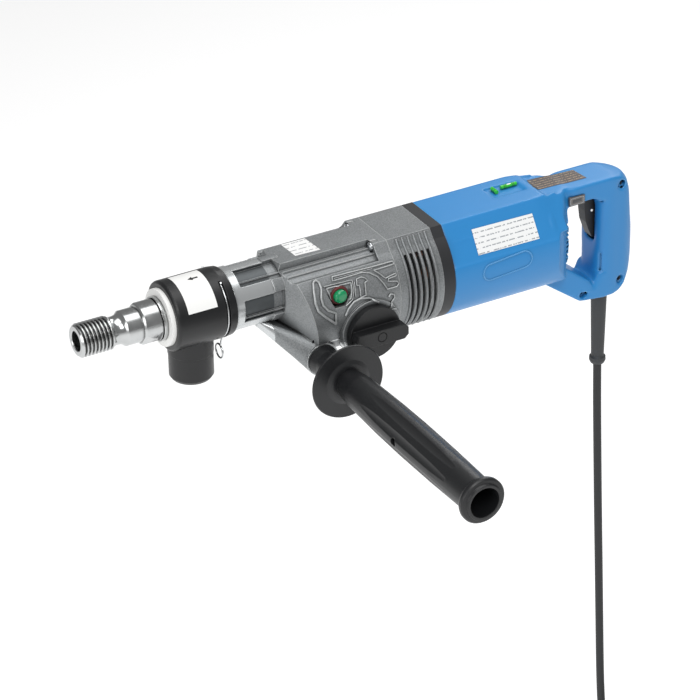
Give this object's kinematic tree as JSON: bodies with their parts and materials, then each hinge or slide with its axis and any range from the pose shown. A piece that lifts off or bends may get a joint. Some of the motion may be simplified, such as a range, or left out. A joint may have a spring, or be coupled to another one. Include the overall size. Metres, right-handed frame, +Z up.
{
  "type": "core drilling machine",
  "caption": "Hand-held dry core drill: threaded spindle, turning suction head, clamp neck, two-speed gearbox, vented motor, D-handle, side handle, cord.",
  "frame": {"origin": "on the spindle axis inside the machined clamp neck, 25 mm behind the neck's front ring edge", "axes": "+X along the spindle, the way it drills; +Y to the operator's left; +Z up"},
  "size_m": [0.6926, 0.382, 0.715],
  "materials": {
    "cast_alloy": "sand-cast, blasted",
    "blue_plastic": "fine texture, semi-gloss",
    "dark_plastic": "fine texture",
    "ring_plastic": "satin",
    "bearing_steel": "ground",
    "lamination": "stamped sheets",
    "copper": "varnished wire",
    "brass_alloy": "drawn",
    "carbon": "pressed graphite",
    "switch_plastic": "moulded",
    "potting": "potted",
    "black_rubber": "smooth",
    "brown_rubber": "smooth",
    "turned_steel": "turned",
    "gear_steel": "hardened",
    "zinc_steel": "zinc plated",
    "spring_wire": "bright wire",
    "slide_plastic": "smooth",
    "vial_acrylic": "clear, tinted",
    "smoked_cover": "smooth",
    "green_gloss": "smooth",
    "red_gloss": "smooth",
    "nickel": "nickel plated"
  },
  "bodies": {
    "machine_body": {"gear_case": "cast_alloy", "mid_case": "cast_alloy", "air_ring": "ring_plastic", "motor_housing": "blue_plastic", "handle_left": "blue_plastic", "handle_right": "blue_plastic", "bearing_bridge": "cast_alloy", "spindle_bearings": "bearing_steel", "countershaft_bearings": "bearing_steel", "armature_bearings": "bearing_steel", "field_stator": "lamination", "field_coils": "copper", "brush_holders": "brass_alloy", "carbon_brushes": "carbon", "trigger_switch": "switch_plastic", "control_module": "potting", "strain_relief": "black_rubber", "cable_clamp": "dark_plastic", "power_cord": "black_rubber", "cord_coil": "black_rubber", "coil_tie": "black_rubber", "plug_body": "black_rubber", "plug_pins": "nickel", "level_vials": "vial_acrylic", "load_indicator": "smoked_cover", "case_screws": "zinc_steel", "handle_screws": "zinc_steel", "handle_stud": "zinc_steel", "handle_spacer": "dark_plastic", "handle_guard": "dark_plastic", "side_grip": "dark_plastic", "shaft_seal": "brown_rubber", "fork_rod": "turned_steel", "impact_ring": "gear_steel"},
    "suction_head": {"head_body": "dark_plastic", "dust_port": "dark_plastic", "slide_ring": "slide_plastic", "lip_seals": "brown_rubber", "wire_clip": "spring_wire"},
    "spindle": {"drill_spindle": "turned_steel", "spindle_washer": "turned_steel", "cam_ring": "gear_steel"},
    "low_gear": {"low_gear": "gear_steel"},
    "high_gear": {"high_gear": "gear_steel"},
    "dog_sleeve": {"dog_sleeve": "gear_steel"},
    "countershaft": {"countershaft": "gear_steel", "main_gear": "gear_steel", "clutch_springs": "spring_wire"},
    "armature": {"armature_shaft": "turned_steel", "armature_core": "lamination", "armature_windings": "copper", "commutator": "copper", "cooling_fan": "dark_plastic"},
    "selector": {"selector_knob": "dark_plastic", "selector_shaft": "turned_steel"},
    "shift_fork": {"shift_fork": "cast_alloy"},
    "trigger": {"trigger": "dark_plastic"},
    "mode_bar": {"mode_bar": "turned_steel", "green_cap": "green_gloss", "red_cap": "red_gloss"}
  },
  "joints": [
    {"name": "head_turn", "type": "hinge", "parent": "machine_body", "child": "suction_head", "pos_m": [0.034, 0, 0], "axis": [1, 0, 0], "continuous": true},
    {"name": "spindle_spin", "type": "hinge", "parent": "machine_body", "child": "spindle", "pos_m": [0, 0, 0], "axis": [1, 0, 0], "continuous": true},
    {"name": "low_gear_spin", "type": "hinge", "parent": "machine_body", "child": "low_gear", "pos_m": [-0.0585, 0, 0], "axis": [1, 0, 0], "continuous": true},
    {"name": "high_gear_spin", "type": "hinge", "parent": "machine_body", "child": "high_gear", "pos_m": [-0.102, 0, 0], "axis": [1, 0, 0], "continuous": true},
    {"name": "countershaft_spin", "type": "hinge", "parent": "machine_body", "child": "countershaft", "pos_m": [-0.08, -0.026, -0.02032], "axis": [1, 0, 0], "continuous": true},
    {"name": "armature_spin", "type": "hinge", "parent": "machine_body", "child": "armature", "pos_m": [-0.2, 0, -0.02], "axis": [1, 0, 0], "continuous": true},
    {"name": "selector_turn", "type": "hinge", "parent": "machine_body", "child": "selector", "pos_m": [-0.0985, 0.05, -0.0405], "axis": [0, -1, 0], "range_deg": [0, 90]},
    {"name": "fork_slide", "type": "slide", "parent": "machine_body", "child": "shift_fork", "axis": [-1, 0, 0], "range_m": [0, 0.00942]},
    {"name": "sleeve_slide", "type": "slide", "parent": "spindle", "child": "dog_sleeve", "axis": [-1, 0, 0], "range_m": [0, 0.00942]},
    {"name": "trigger_pull", "type": "hinge", "parent": "machine_body", "child": "trigger", "pos_m": [-0.373, 0, 0.002], "axis": [0, 1, 0], "range_deg": [0, 7], "stiffness_Nm_per_rad": 0.5, "springref_deg": -17.19},
    {"name": "mode_push", "type": "slide", "parent": "machine_body", "child": "mode_bar", "axis": [0, 1, 0], "range_m": [-0.006, 0]}
  ],
  "couplings": [
    {"joint": "low_gear_spin", "follows": "spindle_spin", "ratio": 1},
    {"joint": "high_gear_spin", "follows": "spindle_spin", "ratio": 1.5},
    {"joint": "countershaft_spin", "follows": "spindle_spin", "ratio": -3},
    {"joint": "armature_spin", "follows": "spindle_spin", "ratio": 12},
    {"joint": "fork_slide", "follows": "selector_turn", "m_per_rad": 0.006},
    {"joint": "sleeve_slide", "follows": "selector_turn", "m_per_rad": 0.006}
  ]
}
